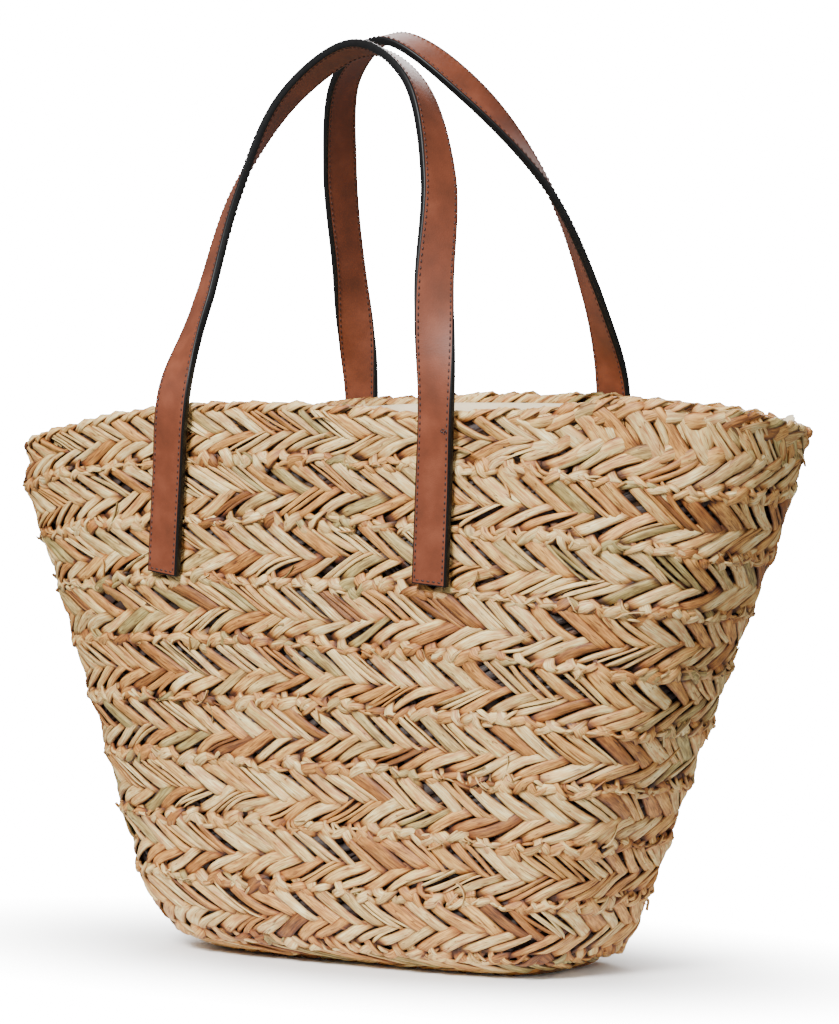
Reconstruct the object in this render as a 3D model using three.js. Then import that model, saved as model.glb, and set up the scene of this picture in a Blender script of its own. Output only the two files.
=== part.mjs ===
// A straw basket bag: a plaited seagrass basket with an oval mouth, a cloth lining and two leather straps.
// Millimetres, +Z up. The base stands on z = 0, +X is the right end of the mouth and -Y is the front wall.

import * as THREE from 'three';

// Basket, measured to the outside of the plait
const mouthLength = 480;
const mouthDepth = 168;
const mouthSquareness = 2.6;
const baseLength = 252;
const baseDepth = 132;
const baseSquareness = 3.8;
const bodyHeight = 291;
const courseCount = 9;
const firstSeamHeight = 9.5;
const plaitThickness = 5;
const seamRidge = 1.2;
const baseCornerAtLeft = 38;
const baseCornerAtRight = 22;
const baseCornerAtSides = 34;

// How the soft basket has settled
const sideSag = 0.06;
const rimEndDip = 23;
const endDipSharpness = 1.8;
const rimTilt = 8;
const courseLean = 2.2;
const mouthShift = 5;
const rimRollIn = 8;
const rimRollHeight = 30;

// The plait's sewn end, which raises the rim along the front wall's right half. Its turns are degrees past the right
// end of the mouth, negative on the front.
const tailRise = 11.4;
const tailDepth = 24;
const tailStartTurn = -64;
const tailFullTurn = -42;
const tailFadeTurn = -15;
const tailEndTurn = 18;

// Cloth lining
const liningThickness = 1.2;
const liningGap = 0.4;
const liningBelowRim = 5;
const pleatCount = 18;
const pleatDepth = 3;
const puffRise = 10;
const puffLength = 30;
const puffHeight = 29;
const puffTurn = 31;

// Leather handles
const strapWidth = 20;
const strapThickness = 4.2;
const strapEdgeRound = 0.8;
const strapSeatGap = 0.3;
const strapSewnLength = 91;
const strapRimClearance = 4;
const handleSpacing = 162;
const handleDrop = 183;

// Mesh fineness
const wallColumns = 72;
const strapStations = 60;

// One course of the plait in section, from one seam to the next.
// across is a share of the course, out is a share of seamRidge: the seam stands out and the wales beside it sink.
const courseProfile = [
  { across: 0.0, out: 1.0 },
  { across: 0.3, out: -0.4 },
  { across: 0.72, out: -0.4 },
];

// Rows up the inside of the straw and up the lining. level is a share of the height from the floor to the lining's
// top edge, hang is a share of pleatDepth: the gathers are deep under the sewn top edge and fade to the floor.
const insideRows = [
  { level: 0.0, hang: 0.0 },
  { level: 0.015, hang: 0.1 },
  { level: 0.04, hang: 0.2 },
  { level: 0.1, hang: 0.3 },
  { level: 0.25, hang: 0.4 },
  { level: 0.5, hang: 0.6 },
  { level: 0.75, hang: 0.8 },
  { level: 0.88, hang: 1.0 },
  { level: 0.94, hang: 1.0 },
  { level: 1.0, hang: 0.7 },
];

// The sewn ends, from the square end up to the rim. up is a share of the sewn length, and each foot is a share of
// half of handleSpacing: where the strap lies along the wall, negative to the left.
const frontFeet = [
  { up: 0.0, left: -1.07, right: 1.0 },
  { up: 0.5, left: -1.0, right: 1.05 },
  { up: 1.0, left: -0.92, right: 1.09 },
];
const backFeet = [
  { up: 0.0, left: -0.92, right: 0.98 },
  { up: 0.5, left: -0.95, right: 0.99 },
  { up: 1.0, left: -0.98, right: 1.01 },
];

// The free arches, from the left foot over to the right foot. across is a share of half of handleSpacing, lean is
// a share of the feet's distance from the middle plane, rise is a share of handleDrop and turn is how far the
// strap's outer face has turned from the wall towards the outside of the arch, in degrees.
const frontArch = [
  { across: -0.93, lean: 0.7, rise: 0.3, turn: 30 },
  { across: -0.81, lean: 0.52, rise: 0.6, turn: 48 },
  { across: -0.47, lean: 0.42, rise: 0.865, turn: 88 },
  { across: 0.08, lean: 0.42, rise: 1.0, turn: 103 },
  { across: 0.62, lean: 0.58, rise: 0.9, turn: 99 },
  { across: 0.92, lean: 0.74, rise: 0.64, turn: 71 },
  { across: 1.02, lean: 0.92, rise: 0.33, turn: 46 },
];
const backArch = [
  { across: -0.96, lean: 0.85, rise: 0.33, turn: 68 },
  { across: -0.85, lean: 0.6, rise: 0.65, turn: 72 },
  { across: -0.55, lean: 0.28, rise: 0.91, turn: 90 },
  { across: 0.0, lean: 0.05, rise: 1.01, turn: 100 },
  { across: 0.57, lean: 0.11, rise: 0.85, turn: 102 },
  { across: 0.93, lean: 0.4, rise: 0.59, turn: 58 },
  { across: 1.05, lean: 0.7, rise: 0.3, turn: 30 },
];

const seagrass = new THREE.MeshStandardMaterial({ name: 'seagrass', color: 0xc2a27c, roughness: 0.75, metalness: 0 });
const cotton = new THREE.MeshStandardMaterial({ name: 'cotton', color: 0xe9e3d8, roughness: 0.9, metalness: 0 });
const leather = new THREE.MeshStandardMaterial({ name: 'leather', color: 0x9a5236, roughness: 0.5, metalness: 0 });

// The basket's form: level runs from 0 at the base to 1 at the rim, and turn runs round from +X towards +Y.

function growth(level) {
  return level - sideSag * level * (1 - level);
}

function squareness(level) {
  return THREE.MathUtils.lerp(baseSquareness, mouthSquareness, level);
}

function halfLength(level) {
  return THREE.MathUtils.lerp(baseLength, mouthLength, growth(level)) / 2;
}

function halfDepth(level) {
  return THREE.MathUtils.lerp(baseDepth, mouthDepth, growth(level)) / 2;
}

// The rim's last course rolls in at the left end.
function rollIn(turn, level) {
  const nearRim = THREE.MathUtils.smoothstep(level, 1 - rimRollHeight / bodyHeight, 1);
  return (rimRollIn * nearRim * (1 - Math.cos(turn))) / 2;
}

// How much higher the rim stands on the plait's end.
function tailAt(turn, level) {
  const pastRightEnd = THREE.MathUtils.radToDeg(Math.atan2(Math.sin(turn), Math.cos(turn)));
  const begun = THREE.MathUtils.smoothstep(pastRightEnd, tailStartTurn, tailFullTurn);
  const ended = THREE.MathUtils.smoothstep(pastRightEnd, tailFadeTurn, tailEndTurn);
  const nearRim = THREE.MathUtils.smoothstep(level, 1 - tailDepth / bodyHeight, 1);
  return tailRise * begun * (1 - ended) * nearRim;
}

// The rim sinks at both ends and stands higher at the right one, and the courses lean the other way below it.
function heightAt(turn, level) {
  const lengthwise = Math.cos(turn);
  const dip = rimEndDip * level ** 1.5 * Math.abs(lengthwise) ** endDipSharpness;
  const tilt = rimTilt * (level ** 6 - courseLean * level * (1 - level) ** 2);
  return level * bodyHeight - dip + tilt * lengthwise + tailAt(turn, level);
}

function cornerRadius(turn) {
  const lengthwise = Math.cos(turn);
  const atEnd = lengthwise > 0 ? baseCornerAtRight : baseCornerAtLeft;
  return THREE.MathUtils.lerp(baseCornerAtSides, atEnd, lengthwise ** 2);
}

// A point at a distance inset inside the basket's outer face, where the floor of that face lies at floorHeight.
function wallPoint(turn, level, inset, floorHeight = 0) {
  const height = heightAt(turn, level);
  const radius = cornerRadius(turn) - inset;
  const drop = THREE.MathUtils.clamp((radius - (height - floorHeight)) / radius, 0, 1);
  const total = inset + radius * (1 - Math.sqrt(1 - drop * drop));
  const power = 2 / squareness(level);
  const lengthwise = Math.cos(turn);
  const depthwise = Math.sin(turn);
  const x = (halfLength(level) - rollIn(turn, level) - total) * Math.sign(lengthwise) * Math.abs(lengthwise) ** power;
  const y = (halfDepth(level) - total) * Math.sign(depthwise) * Math.abs(depthwise) ** power;
  return new THREE.Vector3(x + mouthShift * level, y, height);
}

// Turns that stand evenly spaced along the outline halfway up, starting at the right end.
function evenTurns(count) {
  const fine = 2400;
  const lengths = [0];
  let last = wallPoint(0, 0.5, 0);
  for (let i = 1; i <= fine; i += 1) {
    const next = wallPoint((2 * Math.PI * i) / fine, 0.5, 0);
    lengths.push(lengths[i - 1] + Math.hypot(next.x - last.x, next.y - last.y));
    last = next;
  }
  const turns = [];
  let at = 0;
  for (let k = 0; k < count; k += 1) {
    const wanted = (lengths[fine] * k) / count;
    while (lengths[at + 1] <= wanted) at += 1;
    const part = (wanted - lengths[at]) / (lengths[at + 1] - lengths[at]);
    turns.push((2 * Math.PI * (at + part)) / fine);
  }
  return turns;
}

// The level of a row of insideRows, for a face whose floor lies at floorHeight.
function insideLevel(floorHeight, share) {
  return THREE.MathUtils.lerp(floorHeight, bodyHeight - liningBelowRim, share) / bodyHeight;
}

// Joins rings of points into one closed skin, with a fan over the first ring and over the last one.
function loft(rings) {
  const count = rings[0].length;
  const points = rings.flat();
  const faces = [];
  for (let i = 0; i + 1 < rings.length; i += 1) {
    for (let j = 0; j < count; j += 1) {
      const a = i * count + j;
      const b = i * count + ((j + 1) % count);
      faces.push(a, b, b + count, a, b + count, a + count);
    }
  }
  for (const [ring, first, flip] of [[rings[0], 0, true], [rings.at(-1), points.length - count, false]]) {
    const middle = ring.reduce((sum, point) => sum.add(point), new THREE.Vector3()).divideScalar(count);
    points.push(middle);
    const centre = points.length - 1;
    for (let j = 0; j < count; j += 1) {
      const a = first + j;
      const b = first + ((j + 1) % count);
      if (flip) faces.push(centre, b, a);
      else faces.push(centre, a, b);
    }
  }
  const geometry = new THREE.BufferGeometry().setFromPoints(points);
  geometry.setIndex(faces);
  geometry.computeVertexNormals();
  return geometry;
}

function named(name, geometry, material) {
  const mesh = new THREE.Mesh(geometry, material);
  mesh.name = name;
  return mesh;
}

// Straw basket: outside rows with the seams standing out, a round rim, and plain rows down the inside.
function buildBasket() {
  const turns = evenTurns(wallColumns);
  const ringAt = (level, inset, floorHeight) => turns.map((turn) => wallPoint(turn, level, inset, floorHeight));
  const firstSeam = firstSeamHeight / bodyHeight;
  const rimRadius = plaitThickness / 2;
  const rings = [];
  for (const share of [0, 0.25, 0.55]) rings.push(ringAt(firstSeam * share, 0));
  const lastOutside = 1 - (rimRadius + seamRidge) / bodyHeight;
  for (let course = 0; course < courseCount; course += 1) {
    for (const row of courseProfile) {
      const level = THREE.MathUtils.lerp(firstSeam, 1, (course + row.across) / courseCount);
      if (level < lastOutside) rings.push(ringAt(level, -seamRidge * row.out));
    }
  }
  for (const angle of [0, 50, 90, 130, 180]) {
    const bend = THREE.MathUtils.degToRad(angle);
    const inset = rimRadius * (1 - Math.cos(bend));
    const ring = ringAt(1, inset);
    for (const point of ring) point.z += rimRadius * (Math.sin(bend) - 1);
    rings.push(ring);
  }
  for (const { level } of insideRows.toReversed()) {
    rings.push(ringAt(insideLevel(plaitThickness, level), plaitThickness, plaitThickness));
  }
  return named('straw_body', loft(rings), seagrass);
}

// Cloth lining: an open bag just inside the straw, gathered in soft pleats, with one bunched fold at the right end.
function buildLining() {
  const turns = evenTurns(wallColumns);
  const skin = (away) => insideRows.map(({ level, hang }) => turns.map((turn, column) => {
    const wave = 0.5 + 0.5 * Math.cos((2 * Math.PI * pleatCount * column) / wallColumns);
    const inset = away + pleatDepth * hang * wave;
    const point = wallPoint(turn, insideLevel(away, level), inset, away);
    const puff = wallPoint(THREE.MathUtils.degToRad(puffTurn), 1, away);
    const nearPuff = Math.exp(-((Math.hypot(point.x - puff.x, point.y - puff.y) / (puffLength / 2)) ** 2));
    point.z += puffRise * nearPuff * THREE.MathUtils.smoothstep(level, 1 - puffHeight / bodyHeight, 1);
    return point;
  }));
  const outside = skin(plaitThickness + liningGap);
  const inside = skin(plaitThickness + liningGap + liningThickness);
  return named('lining', loft([...outside, ...inside.reverse()]), cotton);
}

// The turn at which the outer face at a level stands at x, on the front (side -1) or the back (side +1).
function turnAt(x, level, side) {
  let low = 0;
  let high = Math.PI;
  for (let step = 0; step < 40; step += 1) {
    const middle = (low + high) / 2;
    if (wallPoint(side * middle, level, 0).x > x) low = middle;
    else high = middle;
  }
  return (side * (low + high)) / 2;
}

// Where a sewn strap's middle lies on the wall, and how far the wall there is turned towards the basket's end.
function seatOnWall(x, level, side) {
  const standOff = seamRidge + strapSeatGap + strapThickness / 2;
  const turn = turnAt(x, level, side);
  const here = wallPoint(turn, level, 0);
  const step = 0.02;
  const along = wallPoint(turn + step, level, 0).sub(wallPoint(turn - step, level, 0));
  const outward = new THREE.Vector3(along.y, -along.x, 0).normalize();
  const yaw = THREE.MathUtils.radToDeg(Math.atan2(Math.abs(outward.x), Math.abs(outward.y)));
  return { point: here.addScaledVector(outward, standOff), yaw };
}

// The strap in section, as pairs of distances out of its face and across it, with its four edges rounded off.
function strapSection() {
  const face = strapThickness / 2;
  const edge = strapWidth / 2;
  const faceEnd = face - strapEdgeRound;
  const edgeEnd = edge - strapEdgeRound;
  return [
    [face, -edgeEnd], [face, edgeEnd], [faceEnd, edge], [-faceEnd, edge],
    [-face, edgeEnd], [-face, -edgeEnd], [-faceEnd, -edge], [faceEnd, -edge],
  ];
}

// Leather handle: both ends lie flat on the wall from the square end to the rim, and the free part arches over,
// turning its outer face from the wall to the outside of the arch.
function buildHandle(name, side, feet, arch) {
  const half = handleSpacing / 2;
  const rimHeight = heightAt(turnAt(half, 1, side), 1);
  const footRow = (share, up) => {
    const bottom = bodyHeight - strapSewnLength;
    const height = THREE.MathUtils.lerp(bottom, bodyHeight + strapRimClearance, up);
    const seat = seatOnWall(share * half, Math.min(height / bodyHeight, 1), side);
    return { point: seat.point.setZ(height), turn: seat.yaw };
  };
  const feetDistance = Math.abs(footRow(feet.at(-1).left, 1).point.y);
  const rows = [
    ...feet.map(({ up, left }) => footRow(left, up)),
    ...arch.map(({ across, lean, rise, turn }) => ({
      point: new THREE.Vector3(across * half, side * lean * feetDistance, rimHeight + rise * handleDrop),
      turn,
    })),
    ...feet.toReversed().map(({ up, right }) => footRow(right, up)),
  ];
  const route = new THREE.CatmullRomCurve3(rows.map((row) => row.point), false, 'centripetal');
  const turning = new THREE.SplineCurve(rows.map((row, index) => new THREE.Vector2(index, row.turn)));
  const section = strapSection();
  const depthAxis = new THREE.Vector3(0, 1, 0);
  const rings = [];
  for (let i = 0; i <= strapStations; i += 1) {
    const share = i / strapStations;
    const middle = route.getPoint(share);
    const forward = route.getTangent(share);
    const bend = THREE.MathUtils.degToRad(turning.getPoint(share).y);
    const outOfArch = forward.clone().cross(depthAxis).normalize();
    const face = new THREE.Vector3(0, side * Math.cos(bend), 0).addScaledVector(outOfArch, Math.sin(bend));
    face.addScaledVector(forward, -face.dot(forward)).normalize();
    const across = forward.clone().cross(face);
    rings.push(section.map(([out, sideways]) => middle.clone().addScaledVector(face, out)
      .addScaledVector(across, sideways)));
  }
  return named(name, loft(rings), leather);
}

const group = new THREE.Group();
group.add(buildBasket());
group.add(buildLining());
group.add(buildHandle('handle_front', -1, frontFeet, frontArch));
group.add(buildHandle('handle_back', 1, backFeet, backArch));

// The origin is on the floor, under the middle of the whole bag.
const middle = new THREE.Box3().setFromObject(group, true).getCenter(new THREE.Vector3());
group.position.set(-middle.x, -middle.y, 0);

export default group;
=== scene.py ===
"""Looks of a straw basket bag: plaited seagrass, a pale cloth lining and two leather straps.

Metres, +Z up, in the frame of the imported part. +X is the right end of the mouth and -Y is the front wall.
"""

import sys
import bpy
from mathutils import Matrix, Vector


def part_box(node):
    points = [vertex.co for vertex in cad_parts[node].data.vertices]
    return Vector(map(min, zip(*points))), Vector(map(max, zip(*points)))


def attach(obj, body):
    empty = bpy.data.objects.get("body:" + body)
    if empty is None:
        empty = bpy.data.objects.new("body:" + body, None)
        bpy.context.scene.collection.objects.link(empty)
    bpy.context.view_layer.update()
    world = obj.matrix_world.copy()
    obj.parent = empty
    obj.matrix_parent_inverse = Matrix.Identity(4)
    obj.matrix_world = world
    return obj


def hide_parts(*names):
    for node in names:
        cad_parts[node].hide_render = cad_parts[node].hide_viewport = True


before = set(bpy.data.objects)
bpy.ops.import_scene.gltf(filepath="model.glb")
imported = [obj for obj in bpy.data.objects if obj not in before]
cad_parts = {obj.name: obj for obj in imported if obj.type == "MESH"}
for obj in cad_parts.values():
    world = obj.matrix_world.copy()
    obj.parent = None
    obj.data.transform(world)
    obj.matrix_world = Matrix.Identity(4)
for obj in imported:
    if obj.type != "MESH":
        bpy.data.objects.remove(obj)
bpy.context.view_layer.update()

import logging
import math
from dataclasses import dataclass, field
from enum import Enum
from typing import ClassVar

import bmesh
import bpy
import numpy as np
from mathutils import Vector

log = logging.getLogger("basket")
MM = 0.001


# Small helpers


def smooth(value: np.ndarray, low: float, high: float) -> np.ndarray:
    """Returns a smooth step from 0 at low to 1 at high."""
    share = np.clip((value - low) / (high - low), 0.0, 1.0)
    return share * share * (3.0 - 2.0 * share)


def unit(vectors: np.ndarray) -> np.ndarray:
    """Returns the vectors at length one."""
    return vectors / np.maximum(np.linalg.norm(vectors, axis=-1, keepdims=True), 1e-12)


def linear(code: str) -> tuple[float, float, float, float]:
    """Turns an sRGB hex code of six digits into a linear colour with an alpha of one."""
    parts = [int(code[i : i + 2], 16) / 255.0 for i in (0, 2, 4)]
    red, green, blue = [p / 12.92 if p <= 0.04045 else ((p + 0.055) / 1.055) ** 2.4 for p in parts]
    return (red, green, blue, 1.0)


# The basket's form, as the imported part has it


@dataclass
class BasketForm:
    """The outer face of the basket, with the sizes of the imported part."""

    mouth_length: float = 480 * MM
    mouth_depth: float = 168 * MM
    mouth_squareness: float = 2.6
    base_length: float = 252 * MM
    base_depth: float = 132 * MM
    base_squareness: float = 3.8
    height: float = 291 * MM
    courses: int = 9
    first_seam: float = 9.5 * MM
    thickness: float = 5 * MM
    seam_ridge: float = 1.2 * MM
    corner_left: float = 38 * MM
    corner_right: float = 22 * MM
    corner_sides: float = 34 * MM
    side_sag: float = 0.06
    end_dip: float = 23 * MM
    end_dip_sharpness: float = 1.8
    rim_tilt: float = 8 * MM
    course_lean: float = 2.2
    mouth_shift: float = 5 * MM
    roll_in: float = 8 * MM
    tip_roll: float = 3.4 * MM
    roll_height: float = 30 * MM
    tail_rise: float = 11.4 * MM
    tail_depth: float = 24 * MM
    notch_depth: float = 4.6 * MM
    notch_turn: float = -78.0
    notch_spread: float = 11.0
    tail_turns: tuple[float, float, float, float] = (-64.0, -42.0, -15.0, 18.0)
    shift: tuple[float, float] = (0.0, 0.0)

    def centre_on(self, low: Vector, high: Vector) -> None:
        """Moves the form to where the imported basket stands.

        Args:
            low: The lowest corner of the basket's node.
            high: The highest corner of the basket's node.
        """
        right = self.mouth_length / 2 + self.mouth_shift
        left = self.roll_in + self.mouth_shift - self.mouth_length / 2
        self.shift = ((low.x + high.x - right - left) / 2, (low.y + high.y) / 2)

    def growth(self, level: np.ndarray) -> np.ndarray:
        """Returns how far the outline has grown from the base's to the mouth's."""
        return level - self.side_sag * level * (1 - level)

    def tail_at(self, turn: np.ndarray, level: np.ndarray) -> np.ndarray:
        """Returns how much higher the rim stands where the plait's sewn end lies on it, past a notch.

        Args:
            turn: Angles round the basket.
            level: 0 at the base and 1 at the rim.

        Returns:
            The extra heights.
        """
        past = np.degrees(np.arctan2(np.sin(turn), np.cos(turn)))
        start, full, fade, end = self.tail_turns
        lasting = smooth(past, start, full) * (1 - smooth(past, fade, end))
        notch = np.exp(-(((past - self.notch_turn) / self.notch_spread) ** 2))
        rise = self.tail_rise * lasting - self.notch_depth * notch
        return rise * smooth(level, 1 - self.tail_depth / self.height, 1.0)

    def height_at(self, turn: np.ndarray, level: np.ndarray) -> np.ndarray:
        """Returns the height of a level, which dips at both ends of the mouth."""
        along = np.cos(turn)
        dip = self.end_dip * level**1.5 * np.abs(along) ** self.end_dip_sharpness
        tilt = self.rim_tilt * (level**6 - self.course_lean * level * (1 - level) ** 2)
        return level * self.height - dip + tilt * along + self.tail_at(turn, level)

    def corner_at(self, turn: np.ndarray) -> np.ndarray:
        """Returns the radius of the bottom corner."""
        along = np.cos(turn)
        ends = np.where(along > 0, self.corner_right, self.corner_left)
        return self.corner_sides + (ends - self.corner_sides) * along**2

    def wall(self, turn: np.ndarray, level: np.ndarray, inset: float = 0.0, floor: float = 0.0) -> np.ndarray:
        """Gives points of the wall.

        Args:
            turn: Angles round the basket, from +X towards +Y.
            level: 0 at the base and 1 at the rim.
            inset: How far inside the outer face the points lie.
            floor: The height of that face's floor.

        Returns:
            Points, one for each pair of turn and level.
        """
        level = np.asarray(level, float)
        along, across = np.cos(turn), np.sin(turn)
        height = self.height_at(turn, level)
        radius = self.corner_at(turn) - inset
        drop = np.clip((radius - (height - floor)) / radius, 0.0, 1.0)
        total = inset + radius * (1 - np.sqrt(1 - drop * drop))
        power = 2 / (self.base_squareness + (self.mouth_squareness - self.base_squareness) * level)
        grown = self.growth(level)
        length = (self.base_length + (self.mouth_length - self.base_length) * grown) / 2
        depth = (self.base_depth + (self.mouth_depth - self.base_depth) * grown) / 2
        near_rim = smooth(level, 1 - self.roll_height / self.height, 1.0)
        length = length - (self.roll_in * (1 - along) / 2 + self.tip_roll * along**2) * near_rim
        x = (length - total) * np.sign(along) * np.abs(along) ** power
        y = (depth - total) * np.sign(across) * np.abs(across) ** power
        x = x + self.mouth_shift * level + self.shift[0]
        return np.stack(np.broadcast_arrays(x, y + self.shift[1], height), -1)


class WallMap:
    """Places points by course: along is a share of the way round, course counts up from the bottom seam.

    Courses -2 to -1 are the wound base, -1 to 0 its corner and 0 to 9 the wall. Past 9 the rim rolls inwards.
    """

    columns = 720
    fine = 4000

    def __init__(self, form: BasketForm) -> None:
        """Works out the map's rows from the form."""
        self.form = form
        self.pitch = (form.height - form.first_seam) / form.courses
        quarter = np.linspace(0, 1, self.fine // 4 + 1)[:-1]
        eased = np.sin(quarter * math.pi / 2) ** 2 * math.pi / 2
        self.turns = np.concatenate([eased + k * math.pi / 2 for k in range(4)])
        rows = [*self.base_rows(), *self.corner_rows(), *self.wall_rows(), *self.rim_rows()]
        self.values = np.array([value for value, _ in rows])
        spaced = [self.even(points) for _, points in rows]
        self.points = np.stack([row for row, _ in spaced])
        self.girths = np.array([girth for _, girth in spaced])
        along = np.roll(self.points, -1, 1) - np.roll(self.points, 1, 1)
        up = np.gradient(self.points, axis=0)
        self.normals = unit(np.cross(along, up))
        self.normals[self.values <= -1.0] = (0.0, 0.0, -1.0)

    def even(self, points: np.ndarray) -> tuple[np.ndarray, float]:
        """Spaces a closed row evenly by its length.

        Args:
            points: The row at every fine turn.

        Returns:
            The row at every column, and its length.
        """
        closed = np.vstack([points, points[:1]])
        run = np.concatenate([[0.0], np.cumsum(np.linalg.norm(np.diff(closed, axis=0), axis=1))])
        wanted = np.linspace(0, run[-1], self.columns + 1)[:-1]
        row = np.stack([np.interp(wanted, run, closed[:, k]) for k in range(3)], -1)
        return row, float(run[-1])

    def base_rows(self) -> list[tuple[float, np.ndarray]]:
        """Returns the rows of the flat base, from its middle line outwards."""
        ring = self.form.wall(self.turns, np.zeros_like(self.turns))
        centre = (ring.max(0) + ring.min(0)) / 2
        size = ring.max(0) - ring.min(0)
        line = (ring - centre) * (1 - size[1] / size[0], 0, 1) + centre
        rows = []
        for share in np.linspace(0.03, 1, 8):
            rows.append((-2.0 + share, line + (ring - line) * share))
        return rows

    def corner_rows(self) -> list[tuple[float, np.ndarray]]:
        """Returns the rows of the rounded bottom corner."""
        form = self.form
        radius = form.corner_at(self.turns)
        bend = np.arccos(1 - form.first_seam / radius)
        rows = []
        for share in np.linspace(0, 1, 13)[1:]:
            level = radius * (1 - np.cos(bend * share)) / form.height
            rows.append((-1.0 + share, form.wall(self.turns, level)))
        return rows

    def wall_rows(self) -> list[tuple[float, np.ndarray]]:
        """Returns the rows of the wall, which end below the rim's half-round."""
        form = self.form
        rows = []
        for value in np.linspace(0, form.courses, 6 * form.courses + 1)[1:]:
            level = (form.first_seam + value * self.pitch) / form.height
            points = form.wall(self.turns, np.full_like(self.turns, level))
            points[:, 2] -= form.thickness / 2 * max(0.0, value - form.courses + 1) ** 2
            rows.append((float(value), points))
        return rows

    def rim_rows(self) -> list[tuple[float, np.ndarray]]:
        """Returns the rows over the rim and a little way down the inside."""
        form = self.form
        radius = form.thickness / 2
        top = np.ones_like(self.turns)
        rows = []
        for bend in np.linspace(0, math.pi, 11)[1:]:
            points = form.wall(self.turns, top, radius * (1 - math.cos(bend)))
            points[:, 2] += radius * (math.sin(bend) - 1)
            rows.append((form.courses + radius * bend / self.pitch, points))
        for down in (4 * MM, 8 * MM, 12 * MM, 18 * MM, 26 * MM):
            level = top * (1 - (radius + down) / form.height)
            points = form.wall(self.turns, level, form.thickness, form.thickness)
            rows.append((form.courses + (radius * math.pi + down) / self.pitch, points))
        return rows

    def girth(self, course: float) -> float:
        """Returns the way round at a course."""
        return float(np.interp(course, self.values, self.girths))

    def place(self, along: np.ndarray, course: np.ndarray, out: np.ndarray) -> np.ndarray:
        """Places points on the wall.

        Args:
            along: Shares of the way round, any number.
            course: Course values.
            out: Distances out of the wall's plain face.

        Returns:
            The points.
        """
        column = (along % 1.0) * self.columns
        first = np.floor(column).astype(int) % self.columns
        second = (first + 1) % self.columns
        side = (column - np.floor(column))[..., None]
        row = np.interp(course, self.values, np.arange(len(self.values)))
        low = np.clip(np.floor(row).astype(int), 0, len(self.values) - 2)
        rise = (row - low)[..., None]
        placed = []
        for table in (self.points, self.normals):
            lower = table[low, first] * (1 - side) + table[low, second] * side
            upper = table[low + 1, first] * (1 - side) + table[low + 1, second] * side
            placed.append(lower * (1 - rise) + upper * rise)
        return placed[0] + unit(placed[1]) * np.asarray(out)[..., None]


# Meshes from arrays, and lofts from bmesh operators


def tube(corners: int, radius: float, cuts: int) -> bmesh.types.BMesh:
    """Returns a closed upright tube, 2 high, with that many rings between its ends."""
    bm = bmesh.new()
    bmesh.ops.create_cone(bm, cap_ends=True, segments=corners, radius1=radius, radius2=radius, depth=2)
    long_edges = [edge for edge in bm.edges if abs(edge.verts[0].co.z - edge.verts[1].co.z) > 1]
    bmesh.ops.subdivide_edges(bm, edges=long_edges, cuts=cuts)
    bm.verts.index_update()
    return bm


class LeafTemplate:
    """One closed leaf, made with bmesh operators, whose copies are then bent into place."""

    section = (
        (-0.5, -0.2),
        (-0.41, 0.2),
        (-0.18, 0.46),
        (0.14, 0.5),
        (0.39, 0.24),
        (0.5, -0.2),
        (0.32, -0.5),
        (-0.32, -0.5),
    )

    def __init__(self, stations: int) -> None:
        """Builds a tube with the section's corners and the given number of rings.

        Args:
            stations: How many rings the leaf has along its length.
        """
        corners = len(self.section)
        bm = tube(corners, 1.0, stations - 2)
        angles = [math.atan2(vertex.co.y, vertex.co.x) / math.tau * corners for vertex in bm.verts]
        rings = [round((vertex.co.z + 1) / 2 * (stations - 1)) for vertex in bm.verts]
        places = [round(angle - angles[0]) % corners for angle in angles]
        self.ring = np.array(rings)
        self.corner = np.array(places)
        self.faces = [[v.index for v in face.verts] for face in bm.faces]
        bm.free()
        self.across = np.array([a for a, _ in self.section])
        self.out = np.array([o for _, o in self.section])


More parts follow.
